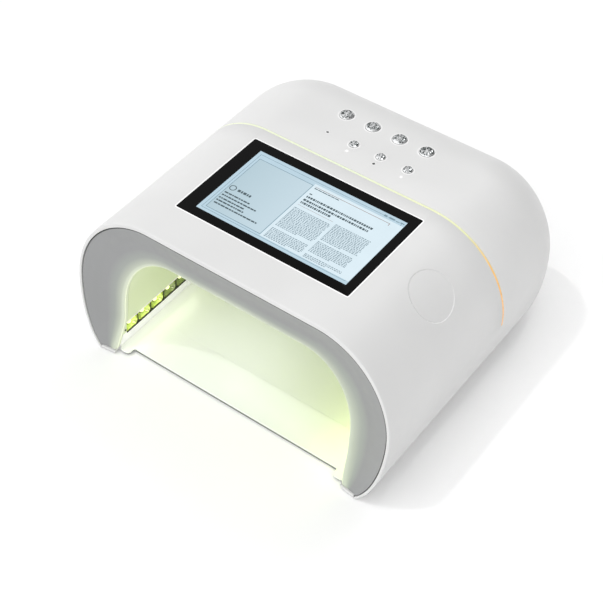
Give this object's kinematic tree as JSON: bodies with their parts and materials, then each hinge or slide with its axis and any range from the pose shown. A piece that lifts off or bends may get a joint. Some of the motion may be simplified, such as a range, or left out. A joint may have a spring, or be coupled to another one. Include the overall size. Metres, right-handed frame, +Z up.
{
  "type": "uv curing lamp",
  "caption": "Arched desktop UV curing lamp with a lit hand chamber, slide-out base plate, touch display in the top, light line and push buttons",
  "frame": {"origin": "centre of the footprint, on the surface the lamp stands on", "axes": "the opening faces -Y, +X to the right when facing the opening, +Z up"},
  "size_m": [0.25, 0.235, 0.1232],
  "materials": {
    "shell_white": "satin white moulded plastic",
    "fascia_grey": "smooth mid grey moulded plastic",
    "liner_white": "glossy white reflector, lit pale green",
    "tray_white": "glossy white plastic",
    "glass_black": "black-backed cover glass",
    "lcd_blue": "lit pale blue display",
    "button_chrome": "faceted chrome-plated cap",
    "light_guide": "frosted clear plastic, lit yellow to orange",
    "led_lens": "clear lens, lit yellow-green",
    "circuit_green": "solder-masked circuit board",
    "black_plastic": "black moulded plastic",
    "rubber_grey": "matte rubber",
    "steel": "plated steel"
  },
  "bodies": {
    "lamp_body": {"base_frame": "black_plastic", "base_screw_1": "steel", "base_screw_2": "steel", "chamber_back": "liner_white", "chamber_cove": "liner_white", "chamber_roof": "liner_white", "chamber_wall_left": "liner_white", "chamber_wall_right": "liner_white", "display_board": "circuit_green", "display_bracket": "steel", "display_cable": "black_plastic", "foot_front_left": "rubber_grey", "foot_front_right": "rubber_grey", "foot_rear_left": "rubber_grey", "foot_rear_right": "rubber_grey", "front_fascia": "fascia_grey", "hand_sensor_window": "black_plastic", "indicator_lens_1": "led_lens", "indicator_lens_2": "led_lens", "indicator_lens_3": "led_lens", "inlet_pin": "steel", "key_board": "circuit_green", "key_cable": "black_plastic", "key_mat": "rubber_grey", "lcd_panel": "lcd_blue", "led_board_left": "circuit_green", "led_board_right": "circuit_green", "led_board_top": "circuit_green", "led_row_left": "led_lens", "led_row_right": "led_lens", "led_row_top": "led_lens", "light_guide": "light_guide", "light_line_board": "circuit_green", "light_sensor_lens": "black_plastic", "main_board": "circuit_green", "outer_shell": "shell_white", "power_inlet": "black_plastic", "rear_panel": "shell_white", "rear_screw_1": "steel", "rear_screw_2": "steel", "rear_screw_3": "steel", "rear_screw_4": "steel", "touch_glass": "glass_black", "tray_magnet_left": "steel", "tray_magnet_right": "steel"},
    "tray": {"base_tray": "tray_white", "tray_steel_left": "steel", "tray_steel_right": "steel"},
    "large_button_1_cap": {"large_button_1": "button_chrome"},
    "large_button_2_cap": {"large_button_2": "button_chrome"},
    "large_button_3_cap": {"large_button_3": "button_chrome"},
    "large_button_4_cap": {"large_button_4": "button_chrome"},
    "small_button_1_cap": {"small_button_1": "button_chrome"},
    "small_button_2_cap": {"small_button_2": "button_chrome"},
    "small_button_3_cap": {"small_button_3": "button_chrome"}
  },
  "joints": [
    {"name": "tray_slide", "type": "slide", "parent": "lamp_body", "child": "tray", "axis": [0, -1, 0], "range_m": [0, 0.2]},
    {"name": "large_button_1_press", "type": "slide", "parent": "lamp_body", "child": "large_button_1_cap", "axis": [0, 0, -1], "range_m": [0, 0.001], "stiffness_N_per_m": 900},
    {"name": "large_button_2_press", "type": "slide", "parent": "lamp_body", "child": "large_button_2_cap", "axis": [0, 0, -1], "range_m": [0, 0.001], "stiffness_N_per_m": 900},
    {"name": "large_button_3_press", "type": "slide", "parent": "lamp_body", "child": "large_button_3_cap", "axis": [0, 0, -1], "range_m": [0, 0.001], "stiffness_N_per_m": 900},
    {"name": "large_button_4_press", "type": "slide", "parent": "lamp_body", "child": "large_button_4_cap", "axis": [0, 0, -1], "range_m": [0, 0.001], "stiffness_N_per_m": 900},
    {"name": "small_button_1_press", "type": "slide", "parent": "lamp_body", "child": "small_button_1_cap", "axis": [0, 0, -1], "range_m": [0, 0.001], "stiffness_N_per_m": 900},
    {"name": "small_button_2_press", "type": "slide", "parent": "lamp_body", "child": "small_button_2_cap", "axis": [0, 0, -1], "range_m": [0, 0.001], "stiffness_N_per_m": 900},
    {"name": "small_button_3_press", "type": "slide", "parent": "lamp_body", "child": "small_button_3_cap", "axis": [0, 0, -1], "range_m": [0, 0.001], "stiffness_N_per_m": 900}
  ]
}
